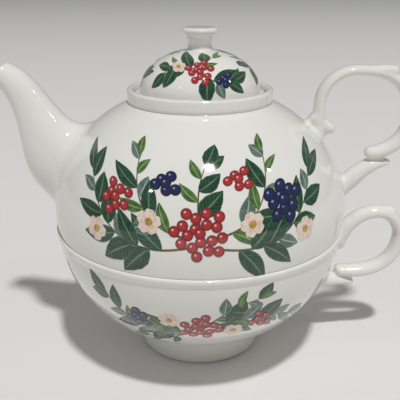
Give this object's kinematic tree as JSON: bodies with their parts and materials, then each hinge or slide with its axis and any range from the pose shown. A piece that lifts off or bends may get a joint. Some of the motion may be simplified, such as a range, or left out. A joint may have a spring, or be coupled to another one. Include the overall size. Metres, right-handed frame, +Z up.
{
  "type": "tea for one teapot",
  "caption": "Stacked tea for one set: a round lidded teapot with a curved spout and looped handle, resting on its own footed cup.",
  "frame": {"origin": "centre of the cup's foot ring, on the table", "axes": "+Z up the axis that cup, teapot and lid share; the handles point to +X and the spout to -X"},
  "size_m": [0.1799, 0.124, 0.1388],
  "materials": {
    "glaze": "gloss"
  },
  "bodies": {
    "root": {"lid": "glaze", "teapot": "glaze", "cup": "glaze"}
  },
  "joints": []
}
